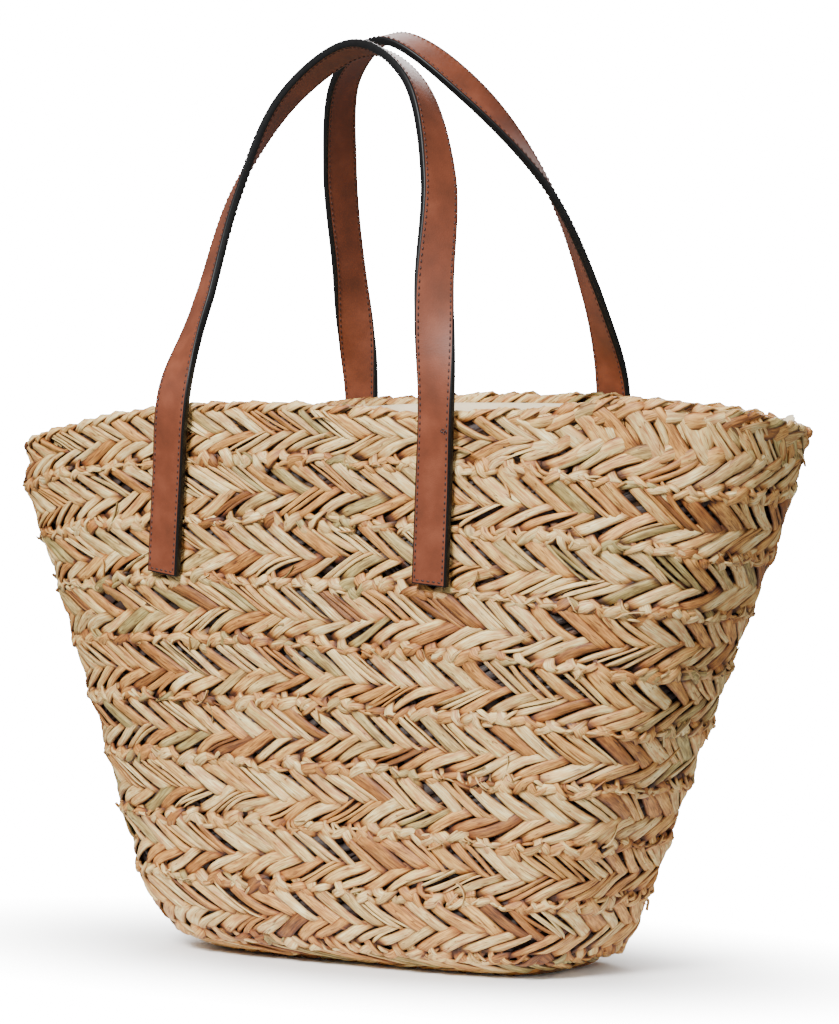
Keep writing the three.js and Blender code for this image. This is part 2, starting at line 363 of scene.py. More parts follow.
@dataclass
class LeafHeap:
    """Bent leaves gathered for one mesh, with their lengths measured along one corner of the section."""

    middle_corner: ClassVar[int] = 2
    map_unit: ClassVar[float] = 10 * MM
    points: list[np.ndarray] = field(default_factory=list)
    maps: list[np.ndarray] = field(default_factory=list)
    tones: list[np.ndarray] = field(default_factory=list)
    tuck_shade_depths: list[np.ndarray] = field(default_factory=list)
    faces: list[np.ndarray] = field(default_factory=list)
    sizes: list[np.ndarray] = field(default_factory=list)
    count: int = 0

    def add(
        self,
        template: LeafTemplate,
        places: np.ndarray,
        tones: np.ndarray,
        tuck_shade_depths: np.ndarray,
    ) -> None:
        """Adds bent copies of a template, with a map that runs along each leaf in centimetres.

        Args:
            template: The leaf they copy.
            places: Points, by leaf, ring and corner.
            tones: One number from 0 to 1 for each leaf.
            tuck_shade_depths: How far each ring is tucked under the others, from 0 to 1, by leaf and ring;
                the material darkens it as painted shade.
        """
        leaves = len(places)
        per_leaf = len(template.ring)
        points = places[:, template.ring, template.corner]
        runs = np.linalg.norm(np.diff(places[:, :, self.middle_corner], axis=1), axis=2)
        lengths = np.concatenate([np.zeros((leaves, 1)), np.cumsum(runs, axis=1)], 1)
        across = np.broadcast_to(template.across[template.corner] + 0.5, (leaves, per_leaf))
        maps = np.stack([across, lengths[:, template.ring] / self.map_unit], -1)
        flat = np.concatenate([np.array(face) for face in template.faces])
        sizes = np.array([len(face) for face in template.faces])
        volume = 0.0
        start = 0
        for size in sizes:
            corners = points[0, flat[start : start + size]]
            for k in range(1, size - 1):
                volume += float(np.dot(corners[0], np.cross(corners[k], corners[k + 1])))
            start += size
        if volume < 0:
            flat = np.concatenate([np.array(face[::-1]) for face in template.faces])
        offsets = (np.arange(leaves) * per_leaf + self.count)[:, None]
        self.points.append(points.reshape(-1, 3))
        self.maps.append(maps.reshape(-1, 2))
        self.tones.append(np.repeat(tones, per_leaf))
        self.tuck_shade_depths.append(tuck_shade_depths[:, template.ring].ravel())
        self.faces.append((flat[None] + offsets).ravel())
        self.sizes.append(np.tile(sizes, leaves))
        self.count += leaves * per_leaf

    def build(self, name: str) -> bpy.types.Object:
        """Makes the mesh object.

        Args:
            name: The piece's name.

        Returns:
            The object, linked to the scene.
        """
        points = np.concatenate(self.points)
        corners = np.concatenate(self.faces).astype(np.int32)
        sizes = np.concatenate(self.sizes).astype(np.int32)
        mesh = bpy.data.meshes.new(name)
        mesh.vertices.add(len(points))
        mesh.vertices.foreach_set("co", points.astype(np.float32).ravel())
        mesh.loops.add(len(corners))
        mesh.loops.foreach_set("vertex_index", corners)
        mesh.polygons.add(len(sizes))
        starts = np.concatenate([[0], np.cumsum(sizes)[:-1]]).astype(np.int32)
        mesh.polygons.foreach_set("loop_start", starts)
        mesh.polygons.foreach_set("loop_total", sizes)
        mesh.polygons.foreach_set("use_smooth", np.ones(len(sizes), bool))
        mesh.update(calc_edges=True)
        layer = mesh.uv_layers.new(name="UVMap")
        layer.data.foreach_set("uv", np.concatenate(self.maps)[corners].astype(np.float32).ravel())
        # The tuck depth is painted into the leaf's colour as shade by its material
        for attribute, values in (("tone", self.tones), ("tuck_shade_depth", self.tuck_shade_depths)):
            layer = mesh.attributes.new(attribute, "FLOAT", "POINT")
            layer.data.foreach_set("value", np.concatenate(values).astype(np.float32))
        mesh.validate()
        return link(name, mesh)


def link(name: str, mesh: bpy.types.Mesh) -> bpy.types.Object:
    """Puts a mesh into the scene under a name and returns its object."""
    piece = bpy.data.objects.new(name, mesh)
    bpy.context.scene.collection.objects.link(piece)
    return piece


def link_bmesh(name: str, bm: bmesh.types.BMesh) -> bpy.types.Object:
    """Turns a bmesh into a smooth mesh object of that name, frees it and returns the object."""
    mesh = bpy.data.meshes.new(name)
    bm.to_mesh(mesh)
    bm.free()
    mesh.shade_smooth()
    return link(name, mesh)


def loft(rings: list[np.ndarray], close_start: bool, close_end: bool) -> bmesh.types.BMesh:
    """Extrudes one closed ring of points into the next.

    Args:
        rings: Rings of points, all of one length.
        close_start: Whether the first ring gets a face.
        close_end: Whether the last ring gets a face.

    Returns:
        A bmesh whose vertices follow the rings in order.
    """
    bm = bmesh.new()
    count = len(rings[0])
    current = [bm.verts.new(point) for point in rings[0]]
    edges = [bm.edges.new((current[k], current[(k + 1) % count])) for k in range(count)]
    first_edges, first = list(edges), list(current)
    for ring in rings[1:]:
        grown = bmesh.ops.extrude_edge_only(bm, edges=edges)["geom"]
        fresh = {v for v in grown if isinstance(v, bmesh.types.BMVert)}
        following = []
        for vertex in current:
            others = (edge.other_vert(vertex) for edge in vertex.link_edges)
            following.append(next(other for other in others if other in fresh))
        for vertex, point in zip(following, ring):
            vertex.co = point
        edges = [bm.edges.get((following[k], following[(k + 1) % count])) for k in range(count)]
        current = following
    if close_start:
        bmesh.ops.contextual_create(bm, geom=first_edges + first)
    if close_end:
        bmesh.ops.contextual_create(bm, geom=edges + current)
    bm.verts.index_update()
    bmesh.ops.recalc_face_normals(bm, faces=bm.faces)
    return bm


# Finishes


Stops = list[tuple[float, str]]


class Nodes:
    """The nodes of a material or of the world, added one at a time."""

    def __init__(self, owner: bpy.types.Material | bpy.types.World) -> None:
        """Empties the owner's node tree."""
        owner.use_nodes = True
        self.owner = owner
        self.tree = owner.node_tree
        self.tree.nodes.clear()

    def add(
        self, kind: str, inputs: dict | None = None, stops: Stops | None = None, **settings: object
    ) -> bpy.types.Node:
        """Adds a node.

        Args:
            kind: The node's type.
            inputs: Values or sockets by input name or number.
            stops: A colour ramp's places and hex colours.
            **settings: The node's own settings.

        Returns:
            The node.
        """
        node = self.tree.nodes.new(kind)
        for key, value in settings.items():
            setattr(node, key, value)
        for key, value in (inputs or {}).items():
            if isinstance(value, bpy.types.NodeSocket):
                self.tree.links.new(value, node.inputs[key])
            else:
                node.inputs[key].default_value = value
        if stops:
            elements = node.color_ramp.elements
            while len(elements) < len(stops):
                elements.new(0.5)
            for element, (position, code) in zip(elements, stops):
                element.position = position
                element.color = linear(code)
        return node

    def finish(self, kind: str, inputs: dict) -> bpy.types.Material | bpy.types.World:
        """Adds the last shader, links it to the output and returns the owner."""
        output = "ShaderNodeOutputMaterial"
        if isinstance(self.owner, bpy.types.World):
            output = "ShaderNodeOutputWorld"
        self.add(output, {"Surface": self.add(kind, inputs).outputs[0]})
        return self.owner


@dataclass(frozen=True)
class SeagrassFinish:
    """Dried seagrass leaves, split and flattened by hand: matte, streaked, each leaf of its own shade."""

    name: str = "dried_seagrass_leaf"
    streaks_across: float = 9.0
    tone_spread: float = 371.0
    roughness: float = 0.56
    relief: float = 0.7
    relief_height: float = 0.6 * MM
    shades: Stops = field(
        default_factory=lambda: [
            (0.0, "7a4f26"),
            (0.04, "a06f38"),
            (0.12, "bf8f50"),
            (0.28, "cda263"),
            (0.5, "dab97e"),
            (0.7, "e7cf9b"),
            (0.82, "dabb88"),
            (0.9, "c3ac76"),
            (0.96, "aca06c"),
            (1.0, "978c5b"),
        ]
    )

    def build(self) -> bpy.types.Material:
        """Returns the material, which reads each leaf's tone, its tucked parts, which it darkens as painted
        shade, and its own map.
        """
        n = Nodes(bpy.data.materials.new(self.name))
        tone = n.add("ShaderNodeAttribute", attribute_name="tone").outputs["Fac"]
        # Painted shade: how deep each part of a leaf is tucked under the others
        tuck_shade = n.add("ShaderNodeAttribute", attribute_name="tuck_shade_depth").outputs["Fac"]
        leaf_map = n.add("ShaderNodeUVMap", uv_map="UVMap").outputs[0]
        side, length, _ = n.add("ShaderNodeSeparateXYZ", {0: leaf_map}).outputs
        apart = n.add("ShaderNodeMath", {0: tone, 1: self.tone_spread}, operation="MULTIPLY").outputs[0]
        across = n.add("ShaderNodeMath", {0: side, 1: self.streaks_across}, operation="MULTIPLY").outputs[0]
        place = n.add("ShaderNodeCombineXYZ", {0: across, 1: length, 2: apart}).outputs[0]
        broad = n.add("ShaderNodeMapping", {0: place, "Scale": (0.2, 1.1, 1.0)}).outputs[0]
        moved = {0: place, 1: (7.0, 3.0, 1.0), "Scale": (0.42, 0.3, 1.0)}
        drawn_out = n.add("ShaderNodeMapping", moved).outputs[0]
        fibre = n.add("ShaderNodeTexNoise", {"Vector": place, "Scale": 1.0, "Detail": 5.0, "Roughness": 0.65})
        patches = n.add("ShaderNodeTexNoise", {"Vector": broad, "Scale": 1.0, "Detail": 2.0}).outputs[0]
        cracks = n.add("ShaderNodeTexNoise", {"Vector": drawn_out, "Scale": 1.0, "Detail": 1.0}).outputs[0]
        from_middle = n.add("ShaderNodeMath", {0: side, 1: 0.5}, operation="SUBTRACT").outputs[0]
        from_middle = n.add("ShaderNodeMath", {0: from_middle}, operation="ABSOLUTE").outputs[0]
        streaks = [(0.3, "6b5a44"), (0.44, "a39683"), (0.56, "e0d8ca"), (0.7, "ffffff")]
        worn = [(0.32, "bd9266"), (0.5, "ecdcc2"), (0.66, "ffffff")]
        crack_lines = [(0.462, "ffffff"), (0.476, "7a5636"), (0.484, "7a5636"), (0.498, "ffffff")]
        # Painted shade towards each leaf's edges, standing in for the shadow between leaves, with some real
        # browning of the edges
        edge_browning_and_shade = [(0.34, "ffffff"), (0.44, "b08a62"), (0.5, "4f3420")]
        # Painted shade: white where a leaf lies on top, darkening to near-black where it is tucked under
        # others
        painted_tuck_shade = [(0.0, "ffffff"), (0.28, "d8bd9b"), (0.58, "7a573a"), (1.0, "2c1a0e")]
        colour = n.add("ShaderNodeValToRGB", {0: tone}, self.shades).outputs[0]
        for blend, share, factor, stops in (
            ("OVERLAY", 0.68, fibre.outputs[0], streaks),
            ("MULTIPLY", 0.6, patches, worn),
            ("MULTIPLY", 0.8, cracks, crack_lines),
            ("MULTIPLY", 0.85, from_middle, edge_browning_and_shade),
            ("MULTIPLY", 1.0, tuck_shade, painted_tuck_shade),
        ):
            layer = n.add("ShaderNodeValToRGB", {0: factor}, stops).outputs[0]
            mix = n.add("ShaderNodeMix", {0: share, 6: colour, 7: layer}, data_type="RGBA", blend_type=blend)
            colour = mix.outputs[2]
        relief = {"Height": fibre.outputs[0], "Strength": self.relief, "Distance": self.relief_height}
        bump = n.add("ShaderNodeBump", relief).outputs[0]
        face = {"Base Color": colour, "Roughness": self.roughness, "Normal": bump, "Specular IOR Level": 0.5}
        return n.finish("ShaderNodeBsdfPrincipled", face)


@dataclass(frozen=True)
class MottledFinish:
    """A finish whose colour, and relief if it has any, follow one noise in the object's own coordinates."""

    name: str
    scale: float
    detail: float
    stops: Stops
    roughness: float
    specular: float = 0.5
    relief: float = 0.0
    relief_height: float = 0.2 * MM

    def build(self) -> bpy.types.Material:
        """Returns the material."""
        n = Nodes(bpy.data.materials.new(self.name))
        place = n.add("ShaderNodeTexCoord").outputs["Object"]
        fineness = {"Vector": place, "Scale": self.scale, "Detail": self.detail}
        noise = n.add("ShaderNodeTexNoise", fineness).outputs[0]
        colour = n.add("ShaderNodeValToRGB", {0: noise}, self.stops).outputs[0]
        face = {"Base Color": colour, "Roughness": self.roughness, "Specular IOR Level": self.specular}
        if self.relief > 0:
            relief = {"Height": noise, "Strength": self.relief, "Distance": self.relief_height}
            face["Normal"] = n.add("ShaderNodeBump", relief).outputs[0]
        return n.finish("ShaderNodeBsdfPrincipled", face)


# The hidden layers of the plait: rough and near-black, a painted shade between the leaves rather than the
# straw's own colour
PLAIT_CORE = MottledFinish(
    "plait_core_painted_shade",
    420.0,
    3.0,
    [(0.35, "1a1008"), (0.55, "2e1d10"), (0.75, "46301c")],
    roughness=0.85,
    specular=0.15,
    relief=0.8,
    relief_height=1.0 * MM,
)
# Black edge paint on cut leather: a thick, smooth coat with a slight shine
EDGE_PAINT = MottledFinish(
    "black_edge_paint",
    300.0,
    2.0,
    [(0.3, "060607"), (0.7, "0d0d0e")],
    roughness=0.45,
    specular=0.25,
    relief=0.2,
)
# Waxed polyester sewing thread: dark red-brown with a faint sheen
THREAD = MottledFinish("waxed_sewing_thread", 900.0, 1.0, [(0.3, "220b07"), (0.7, "38130c")], roughness=0.55)


@dataclass(frozen=True)
class CottonFinish:
    """Unbleached plain-woven cotton: matte, cream, with threads about 0.5 mm apart."""

    name: str = "woven_cotton_lining"
    thread: float = 0.5 * MM

    def build(self) -> bpy.types.Material:
        """Returns the material, whose threads run along the cloth's own map, given in metres."""
        n = Nodes(bpy.data.materials.new(self.name))
        cloth = n.add("ShaderNodeUVMap", uv_map="UVMap").outputs[0]
        split = n.add("ShaderNodeSeparateXYZ", {0: cloth})
        half_turns = math.tau / self.thread / 2
        waves = []
        for along in split.outputs[:2]:
            angle = n.add("ShaderNodeMath", {0: along, 1: half_turns}, operation="MULTIPLY").outputs[0]
            waves.append(n.add("ShaderNodeMath", {0: angle}, operation="SINE").outputs[0])
        weave = n.add("ShaderNodeMath", {0: waves[0], 1: waves[1]}, operation="MULTIPLY").outputs[0]
        slub = n.add("ShaderNodeTexNoise", {"Vector": cloth, "Scale": 60.0, "Detail": 3.0}).outputs[0]
        creams = [(0.3, "cdbb96"), (0.6, "e3d2b0"), (0.8, "ede0c4")]
        colour = n.add("ShaderNodeValToRGB", {0: slub}, creams).outputs[0]
        bump = n.add("ShaderNodeBump", {"Height": weave, "Strength": 0.3, "Distance": 0.15 * MM}).outputs[0]
        face = {"Base Color": colour, "Roughness": 0.9, "Normal": bump}
        sheen = {"Sheen Weight": 0.15, "Sheen Roughness": 0.5}
        return n.finish("ShaderNodeBsdfPrincipled", {**face, **sheen})


@dataclass(frozen=True)
class LeatherFinish:
    """Smooth tanned cow leather with a waxed face: warm brown, fine pores, a soft satin gloss."""

    name: str = "waxed_tan_leather"
    pore: float = 0.7 * MM

    def build(self) -> bpy.types.Material:
        """Returns the material."""
        n = Nodes(bpy.data.materials.new(self.name))
        place = n.add("ShaderNodeTexCoord").outputs["Object"]
        pores = {"Vector": place, "Scale": 1 / self.pore}
        grain = n.add("ShaderNodeTexVoronoi", pores, feature="F1").outputs[0]
        cloud = n.add("ShaderNodeTexNoise", {"Vector": place, "Scale": 70.0, "Detail": 4.0}).outputs[0]
        tans = [(0.3, "5c2f1c"), (0.5, "693520"), (0.7, "763f29")]
        colour = n.add("ShaderNodeValToRGB", {0: cloud}, tans).outputs[0]
        bump = n.add("ShaderNodeBump", {"Height": grain, "Strength": 0.18, "Distance": 0.2 * MM}).outputs[0]
        rough = n.add("ShaderNodeMapRange", {0: cloud, 3: 0.46, 4: 0.6}).outputs[0]
        face = {"Base Color": colour, "Roughness": rough, "Normal": bump, "Specular IOR Level": 0.32}
        return n.finish("ShaderNodeBsdfPrincipled", face)


@dataclass(frozen=True)
class StudioFinish:
    """Matte white studio paper, which fades into the white background away from the basket."""

    name: str = "studio_paper"
    fade_start: float = 0.06
    fade_end: float = 0.25
    along_share: float = 0.55

    def build(self) -> bpy.types.Material:
        """Returns the material."""
        n = Nodes(bpy.data.materials.new(self.name))
        place = n.add("ShaderNodeTexCoord").outputs["Object"]
        noise = n.add("ShaderNodeTexNoise", {"Vector": place, "Scale": 3.0}).outputs[0]
        colour = n.add("ShaderNodeValToRGB", {0: noise}, [(0.3, "f8f8f8"), (0.7, "fbfbfb")]).outputs[0]
        narrowed = n.add("ShaderNodeMapping", {0: place, "Scale": (self.along_share, 1.0, 1.0)}).outputs[0]
        far = n.add("ShaderNodeVectorMath", {0: narrowed}, operation="LENGTH").outputs["Value"]
        limits = {0: far, 1: self.fade_start, 2: self.fade_end, 3: 1.0, 4: 0.0}
        fade = n.add("ShaderNodeMapRange", limits, interpolation_type="SMOOTHSTEP").outputs[0]
        face = {"Base Color": colour, "Roughness": 0.9, "Specular IOR Level": 0.1, "Alpha": fade}
        return n.finish("ShaderNodeBsdfPrincipled", face)


# The plait


class Lean(Enum):
    """The way a leaf leans, seen from outside."""

    FALLING = "falls to the right"
    RISING = "rises to the right"


@dataclass
class LeafRow:
    """One row of the plait's leaves, in crossings up from the course's lower edge.

    crossings are the rings' places along the leaf and heights their shares of the leaf's lift.
    """

    lean: Lean
    crossings: tuple[float, ...]
    heights: tuple[float, ...]
    width: float
    split_chance: float
    bow: float = -0.05


@dataclass(frozen=True)
class Scatter:
    """How much leaves of a row differ, as standard deviations: shares, and millimetres for the last three."""

    middle: float = 0.06
    part: float = 0.012
    tone: float = 0.05
    rise: float = 0.2
    stretch: float = 0.04
    slip: float = 0.17
    bow: float = 0.055
    skew: float = 0.07
    taper: float = 0.15
    tilt: float = 0.45
    twist: float = 0.5
    crease: float = 0.28


LONG_FALLING = LeafRow(
    Lean.FALLING,
    (7.95, 7.55, 7.2, 6.8, 6.0, 5.1, 4.4, 3.9, 3.5, 3.1, 2.65, 0.4),
    (-1.0, -0.6, 0.1, 0.8, 1.05, 1.1, 1.05, 0.95, 0.65, -0.1, -1.1, -1.4),
    1.0,
    0.34,
)
LONG_RISING = LeafRow(
    Lean.RISING,
    (0.0, 0.4, 0.75, 1.1, 1.7, 2.3, 2.8, 3.2, 3.6, 4.05, 6.8),
    (-1.0, -0.5, 0.2, 0.8, 1.05, 1.05, 0.95, 0.6, -0.2, -1.1, -1.4),
    1.06,
    0.2,
)
SHORT_FALLING = LeafRow(
    Lean.FALLING,
    (1.2, 0.8, 0.45, 0.0, -0.5, -0.95, -1.35),
    (-1.0, -0.4, 0.4, 1.0, 0.8, -0.2, -1.2),
    0.8,
    0.3,
)


@dataclass
class Hook:
    """A kind of short leaf that folds over a seam, each size a low and a high, lean in degrees."""

    reach: tuple[float, float]
    lean: tuple[float, float]
    width: tuple[float, float]
    height: tuple[float, float]
    bulge: tuple[float, float]


@dataclass
class TailRow:
    """A row of leaves over the plait's sewn end: its place above the rim, its spacing, its kind of leaf."""

    above: float
    spacing: float
    hook: Hook


SEAM_HOOKS = [
    Hook((14 * MM, 20 * MM), (12, 38), (4.4 * MM, 6.8 * MM), (-0.9 * MM, 1.6 * MM), (1.8 * MM, 3.2 * MM)),
    Hook((11 * MM, 16 * MM), (-56, -22), (3.8 * MM, 5.8 * MM), (-2.8 * MM, 0.2 * MM), (1.3 * MM, 2.5 * MM)),
    Hook((8 * MM, 13 * MM), (-30, 55), (1.4 * MM, 3.4 * MM), (-2.2 * MM, 2.8 * MM), (2.2 * MM, 3.4 * MM)),
]
# Loose ends: share of the way round, course, length, lean in degrees, lift and width
LOOSE_ENDS = [
    (0.012, 8.7, 14 * MM, -8.0, 5.0 * MM, 2.4 * MM),
    (0.985, 3.45, 15 * MM, 25.0, 6.0 * MM, 2.0 * MM),
    (0.829, 8.34, 19 * MM, 10.0, 7.0 * MM, 2.6 * MM),
]
TAIL_ROWS = [
    TailRow(
        -16.5 * MM,
        13 * MM,
        Hook((20 * MM, 26 * MM), (12, 28), (5.4 * MM, 7.2 * MM), (-1 * MM, 1 * MM), (2.0 * MM, 2.9 * MM)),
    ),
    TailRow(
        -10.5 * MM,
        12 * MM,
        Hook((15 * MM, 20 * MM), (-50, -30), (5 * MM, 6.8 * MM), (-1 * MM, 1 * MM), (1.8 * MM, 2.7 * MM)),
    ),
    TailRow(
        -4.5 * MM,
        11 * MM,
        Hook((22 * MM, 28 * MM), (8, 24), (5.4 * MM, 7.4 * MM), (-1 * MM, 1 * MM), (2.0 * MM, 3.1 * MM)),
    ),
]


# The strands round the rim: least and greatest width, and rise, in millimetres
RIM_STRANDS = ((5.2, 7.4, 2.5), (4.6, 6.6, 0.9), (2.0, 3.4, 2.0))


@dataclass
class Plait:
    """The seagrass plait wound round the basket."""

    surface: WallMap
    scatter: Scatter = Scatter()
    leaf_pitch: float = 13.4 * MM
    crossings: int = 8
    falling_slope: float = math.tan(math.radians(35.0))
    rising_slope: float = math.tan(math.radians(26.5))
    leaf_thickness: float = 1.6 * MM
    lift: float = 1.05 * MM
    sink: float = 1.9 * MM
    base_sink: float = 2.2 * MM
    tail_span: tuple[float, float] = (0.866, 1.03)
    core_depth: float = 4.1 * MM
    rim_core_depth: float = 2.2 * MM
    core_rings: int = 60
    hook_rings: int = 8
    strand_rings: int = 15
    fibre_rings: int = 7
    fibres_per_course: int = 16
    course_seed: int = 1200
    rim_seed: int = 77
    loose_seed: int = 31

    def out_at(self, course: np.ndarray, along: np.ndarray) -> np.ndarray:
        """Returns how far the plait's middle lies out of the wall's plain face."""
        share = course - np.floor(course)
        ridge = np.interp(share, (0, 0.12, 0.3, 0.72, 0.9, 1), (1.0, 0.55, -0.4, -0.4, 0.55, 1.0))
        ridge = ridge * self.surface.form.seam_ridge * smooth(course, -0.9, 0.1)
        ridge = ridge * (1 - smooth(course, 8.85, 9.0))
        sink = self.base_sink + (self.sink - self.base_sink) * smooth(course, -0.9, 0.2)
        wander = 0.5 * MM * np.sin(along * 61 + course * 5.1) * np.sin(along * 23 - course * 2.3)
        return ridge - sink + wander * smooth(course, -0.5, 0.5)

    def place(self, along: np.ndarray, course: np.ndarray, out: np.ndarray) -> np.ndarray:
        """Places points given from the plait's own middle surface."""
        slow = 0.03 * np.sin(along * 44 + np.floor(course) * 1.7)
        winding = slow + 0.028 * np.sin(along * 113 + course * 2.1)
        wavy = course + winding * smooth(course, 0, 0.8) * (1 - smooth(course, 8.3, 8.8))
        return self.surface.place(along, wavy, out + self.out_at(course, along))

    def units(self, course: float) -> int:
        """Returns how many leaves of one kind go round a course."""
        return max(8, round(self.surface.girth(course + 0.5) / self.leaf_pitch))

    def leaves(
        self, row: LeafRow, units: int, rng: np.random.Generator, tones: np.ndarray
    ) -> tuple[np.ndarray, ...]:
        """Splits the units of a row into leaves.

        Args:
            row: The row.
            units: How many units go round.
            rng: The random numbers.
            tones: Each unit's tone.

        Returns:
            Middle lines, widths, tones and heights of the leaves.
        """
        lines, widths, shades, heights = [], [], [], []
        for unit_number in range(units):
            roll = rng.random()
            parts = 3 if roll < row.split_chance * 0.3 else 2 if roll < row.split_chance else 1
            width = row.width * rng.uniform(0.8, 1.08)
            middle = unit_number + rng.normal(0, self.scatter.middle)
            cuts = np.sort(rng.uniform(0.25, 0.75, parts - 1))
            if parts == 3:
                cuts = np.array([rng.uniform(0.25, 0.4), rng.uniform(0.6, 0.75)])
            edges = np.concatenate([[0], cuts, [1]])
            for low, high in zip(edges[:-1], edges[1:]):
                lines.append(middle + width * ((low + high) / 2 - 0.5) + rng.normal(0, self.scatter.part))
                widths.append(width * (high - low) * rng.uniform(0.96, 1.12))
                tone = tones[unit_number] + rng.normal(0, self.scatter.tone) * (parts > 1)
                shades.append(np.clip(tone, 0.002, 0.998))
                heights.append(rng.normal(0, self.scatter.rise))
        return np.array(lines), np.array(widths), np.array(shades), np.array(heights)

    def add_row(
        self, heap: LeafHeap, row: LeafRow, course: int, rng: np.random.Generator, tones: np.ndarray
    ) -> None:
        """Adds one row of leaves of a course.

        Args:
            heap: Where the leaves go.
            row: The row.
            course: The course's number.
            rng: The random numbers.
            tones: Each unit's tone.
        """
        units = self.units(course)
        lines, widths, shades, rise = self.leaves(row, units, rng, tones)
        count = len(lines)
        template = LeafTemplate(len(row.crossings))
        steps, heights = np.array(row.crossings), np.array(row.heights)
        shown = heights > 0
        middle = steps[shown].mean()
        share = np.clip((steps - middle) / (steps[shown][-1] - middle), -1.6, 1.6)
        scatter = self.scatter
        stretch = 1 + rng.normal(0, scatter.stretch, (count, 1))
        stations = middle + (steps - middle) * stretch + rng.normal(0, scatter.slip, (count, 1))
        bow = rng.normal(row.bow, scatter.bow, (count, 1)) * (1 - share**2)
        skew = rng.normal(0, scatter.skew, (count, 1)) * share
        slant = np.clip(share * rng.choice([-1, 1], (count, 1)), -1, 1)
        taper = 1 - np.abs(rng.normal(0, scatter.taper, (count, 1))) * (slant + 1) / 2
        across = template.across * (widths[:, None] * taper)[..., None]
        line = lines[:, None, None] + (bow + skew)[..., None] + across
        if row.lean is Lean.FALLING:
            first, second = line, lines[:, None, None] - stations[..., None]
        else:
            first, second = lines[:, None, None] + stations[..., None], line
        falling = 1 / self.falling_slope
        rising = 1 / self.rising_slope
        along = (first * rising + second * falling) / ((rising + falling) * units)
        level = course + (first - second + 0.5) / self.crossings
        tilt = rng.normal(0, scatter.tilt, (count, 1, 1)) * MM * template.across * 2
        twist = rng.normal(0, scatter.twist, (count, 1, 1)) * MM * template.across * share[:, None]
        lift = (heights + rise[:, None]) * self.lift
        thick = template.out * self.leaf_thickness
        crease = rng.normal(0, scatter.crease, (count, 1, 1)) * MM * np.sin(template.across * math.tau)
        out = lift[..., None] + tilt + twist + thick + crease
        # How deep each ring is tucked, which the material darkens as painted shade
        tuck_shade_depths = np.clip((0.55 - heights - 0.6 * rise[:, None]) / 1.6, 0.0, 1.0)
        heap.add(template, self.place(along, level, out), shades, tuck_shade_depths)

    def add_ribbons(
        self,
        heap: LeafHeap,
        along: np.ndarray,
        course: float,
        path: np.ndarray,
        widths: np.ndarray,
        tilts: np.ndarray,
        tones: np.ndarray,
    ) -> None:
        """Adds free leaves that follow paths on the wall.

        Args:
            heap: Where the leaves go.
            along: Where each starts, as a share of the way round.
            course: The course value that their paths count from.
            path: Metres along, up and out, by leaf and ring.
            widths: Widths in metres, by leaf and ring.
            tilts: Turns about the leaf's own length in radians, by leaf and ring.
            tones: Each leaf's tone.
        """
        template = LeafTemplate(path.shape[1])
        girth = self.surface.girth(course)
        forward = unit(np.gradient(path[..., :2], axis=1))
        side = np.stack([forward[..., 1], -forward[..., 0]], -1)
        reach = template.across * widths[..., None]
        thick = template.out * self.leaf_thickness
        cosine, sine = np.cos(tilts)[..., None], np.sin(tilts)[..., None]
        flat = reach * cosine - thick * sine
        out = path[..., 2, None] + reach * sine + thick * cosine
        s = path[..., 0, None] + side[..., 0, None] * flat
        t = path[..., 1, None] + side[..., 1, None] * flat
        points = self.place(along[:, None, None] + s / girth, course + t / self.surface.pitch, out)
        # How deep each ring lies, which the material darkens as painted shade
        tuck_shade_depths = np.clip((0.7 * MM - path[..., 2]) / (1.9 * MM), 0.0, 1.0)
        heap.add(template, points, tones, tuck_shade_depths)

    def add_loops(self, heap: LeafHeap, course: int, rng: np.random.Generator, tones: np.ndarray) -> None:
        """Adds the folded leaves along the seam above a course, which stand out like a rope.

        Args:
            heap: Where the leaves go.
            course: The course below the seam.
            rng: The random numbers.
            tones: Each unit's tone.
        """
        units = self.units(course)
        spacing = self.surface.girth(course + 1.0) / units
        for number, hook in enumerate(SEAM_HOOKS):
            starts = (np.arange(units) + number * 0.37) * spacing
            self.add_hooks(heap, hook, starts, course + 1.0, 0.0, rng, tones)

    def add_hooks(
        self,
        heap: LeafHeap,
        hook: Hook,
        starts: np.ndarray,
        course: float,
        above: float,
        rng: np.random.Generator,
        tones: np.ndarray,
    ) -> None:
        """Adds short bulging leaves of one kind.

        Args:
            heap: Where the leaves go.
            hook: The kind.
            starts: Their middles along the course, in metres.
            course: The course value that they lie on.
            above: How far above it they lie, in metres.
            rng: The random numbers.
            tones: Each leaf's tone.
        """
        count = len(starts)
        share = np.linspace(0, 1, self.hook_rings)
        swell = np.sin(share * math.pi)
        reach = rng.uniform(*hook.reach, (count, 1))
        lean = np.radians(rng.uniform(*hook.lean, (count, 1)))
        arch = rng.normal(0.6, 0.8, (count, 1)) * MM * (swell - 0.5)
        s = (share - 0.5) * reach * np.cos(lean) - arch * np.sin(lean)
        t = above + rng.uniform(*hook.height, (count, 1)) + (share - 0.5) * reach * np.sin(lean)
        t = t + arch * np.cos(lean)
        n = swell * rng.uniform(*hook.bulge, (count, 1)) - 1.1 * MM
        widths = rng.uniform(*hook.width, (count, 1)) * (0.5 + 0.5 * swell**0.7)
        tilts = rng.normal(0, 0.25, (count, 1)) + rng.normal(0, 0.4, (count, 1)) * (2 * share - 1)
        jitter = rng.normal(0, 1.1, count) * MM
        along = (starts + jitter) / self.surface.girth(course)
        self.add_ribbons(heap, along, course, np.stack([s, t, n], -1), widths, tilts, tones)

